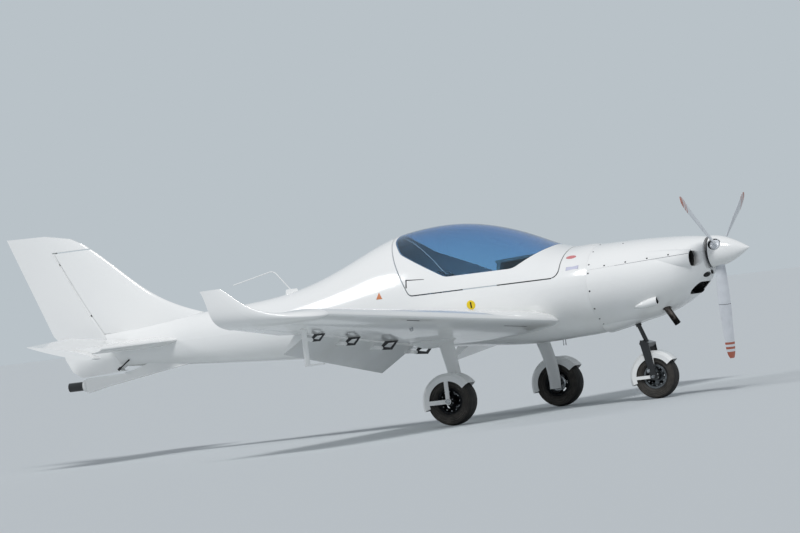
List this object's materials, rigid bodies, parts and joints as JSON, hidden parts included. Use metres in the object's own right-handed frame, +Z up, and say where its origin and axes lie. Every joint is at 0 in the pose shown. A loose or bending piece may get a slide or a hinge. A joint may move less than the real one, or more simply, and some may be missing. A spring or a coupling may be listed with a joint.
{
  "type": "ultralight aircraft",
  "caption": "Low-wing side-by-side ultralight with bubble canopy, upswept winglets, swept fin, fixed tricycle gear and a tractor propeller.",
  "frame": {"origin": "on the ground under the middle of the whole length and span", "axes": "+X forward to the propeller, +Y to port, +Z up"},
  "size_m": [6.4, 9.003, 1.8999],
  "materials": {
    "white_gelcoat": "smooth glossy white gelcoat over composite",
    "blue_acrylic": "clear blue-tinted acrylic",
    "black_paint": "satin black powder coat on steel",
    "dark_grey_plate": "dark grey painted plate",
    "engine_metal": "dull cast metal",
    "exhaust_steel": "heat-darkened steel tube",
    "tyre_rubber": "black tyre rubber",
    "rim_metal": "cast aluminium, partly dark",
    "axle_steel": "machined steel",
    "blade_grey": "light grey painted composite blade with red-brown tip stripes",
    "hub_dark": "dark anodised aluminium",
    "seat_fabric": "woven upholstery",
    "cabin_shell": "painted composite cabin lining",
    "panel_grey": "matt grey-green instrument panel and coaming"
  },
  "bodies": {
    "airframe": {"fuselage": "white_gelcoat", "cowling_upper": "white_gelcoat", "cowling_lower": "white_gelcoat", "engine": "engine_metal", "exhaust": "exhaust_steel", "fin": "white_gelcoat", "tailplane": "white_gelcoat", "wing_right": "white_gelcoat", "wing_left": "white_gelcoat", "flap_brackets_right": "black_paint", "flap_brackets_left": "black_paint", "seat_shells": "cabin_shell", "seat_cushions": "seat_fabric", "back_cushions": "seat_fabric", "instrument_panel": "panel_grey", "centre_console": "panel_grey", "control_sticks": "black_paint", "main_right_leg": "white_gelcoat", "main_left_leg": "white_gelcoat", "main_right_leg_fairing": "white_gelcoat", "main_left_leg_fairing": "white_gelcoat", "main_right_axle": "axle_steel", "main_left_axle": "axle_steel", "main_right_guard": "white_gelcoat", "main_left_guard": "white_gelcoat", "nose_strut": "black_paint", "tie_down_right": "axle_steel", "tie_down_left": "axle_steel", "tow_release": "black_paint", "aerial": "white_gelcoat", "pitot": "white_gelcoat", "drain_tubes": "axle_steel"},
    "canopy": {"canopy_frame": "white_gelcoat", "canopy_glass": "blue_acrylic"},
    "propeller": {"spinner": "white_gelcoat", "propeller_hub": "hub_dark", "propeller_blades": "blade_grey"},
    "nose_leg": {"nose_fork": "black_paint", "nose_guard": "white_gelcoat", "nose_axle": "axle_steel"},
    "nose_wheel": {"nose_tyre": "tyre_rubber", "nose_rim": "rim_metal"},
    "main_wheel_right": {"main_right_tyre": "tyre_rubber", "main_right_rim": "rim_metal"},
    "main_wheel_left": {"main_left_tyre": "tyre_rubber", "main_left_rim": "rim_metal"},
    "flap_right": {"flap_right": "white_gelcoat"},
    "flap_left": {"flap_left": "white_gelcoat"},
    "aileron_right": {"aileron_right": "white_gelcoat"},
    "aileron_left": {"aileron_left": "white_gelcoat"},
    "elevator": {"elevator": "white_gelcoat"},
    "rudder": {"rudder": "white_gelcoat"}
  },
  "joints": [
    {"name": "canopy_hinge", "type": "hinge", "parent": "airframe", "child": "canopy", "pos_m": [1.945, 0, 1.225], "axis": [0, 1, 0], "range_deg": [0, 62]},
    {"name": "propeller_spin", "type": "hinge", "parent": "airframe", "child": "propeller", "pos_m": [2.95, 0, 1.086], "axis": [1, 0, 0], "continuous": true},
    {"name": "rudder_hinge", "type": "hinge", "parent": "airframe", "child": "rudder", "pos_m": [-2.28, 0, 0.75], "axis": [-0.4551, 0, 0.8904], "range_deg": [-28, 28]},
    {"name": "nose_steering", "type": "hinge", "parent": "airframe", "child": "nose_leg", "pos_m": [2.21, 0, 0.587], "axis": [-0.3486, 0, 0.9373], "range_deg": [-16.8, 16.8]},
    {"name": "nose_wheel_spin", "type": "hinge", "parent": "nose_leg", "child": "nose_wheel", "pos_m": [2.31, 0, 0.175], "axis": [0, 1, 0], "continuous": true},
    {"name": "main_wheel_right_spin", "type": "hinge", "parent": "airframe", "child": "main_wheel_right", "pos_m": [1.04, -1.14, 0.19], "axis": [0, 1, 0], "continuous": true},
    {"name": "main_wheel_left_spin", "type": "hinge", "parent": "airframe", "child": "main_wheel_left", "pos_m": [1.04, 1.14, 0.19], "axis": [0, 1, 0], "continuous": true},
    {"name": "flap_right_hinge", "type": "hinge", "parent": "airframe", "child": "flap_right", "pos_m": [0.5971, -0.65, 0.58962], "axis": [0.0706, -0.9936, 0.088], "range_deg": [-36, 4]},
    {"name": "flap_left_hinge", "type": "hinge", "parent": "airframe", "child": "flap_left", "pos_m": [0.5971, 0.65, 0.58962], "axis": [-0.0706, -0.9936, -0.088], "range_deg": [-36, 4]},
    {"name": "aileron_right_hinge", "type": "hinge", "parent": "airframe", "child": "aileron_right", "pos_m": [0.75972, -3.1, 0.88183], "axis": [0.0728, -0.9946, 0.0742], "range_deg": [-20, 20]},
    {"name": "aileron_left_hinge", "type": "hinge", "parent": "airframe", "child": "aileron_left", "pos_m": [0.75972, 3.1, 0.88183], "axis": [-0.0728, -0.9946, -0.0742], "range_deg": [-20, 20]},
    {"name": "elevator_hinge", "type": "hinge", "parent": "airframe", "child": "elevator", "pos_m": [-2.2, 0, 0.92], "axis": [0, 1, 0], "range_deg": [-35, 10]}
  ],
  "couplings": [
    {"joint": "nose_steering", "follows": "rudder_hinge", "ratio": -0.6},
    {"joint": "flap_left_hinge", "follows": "flap_right_hinge", "ratio": 1},
    {"joint": "aileron_left_hinge", "follows": "aileron_right_hinge", "ratio": -1}
  ]
}
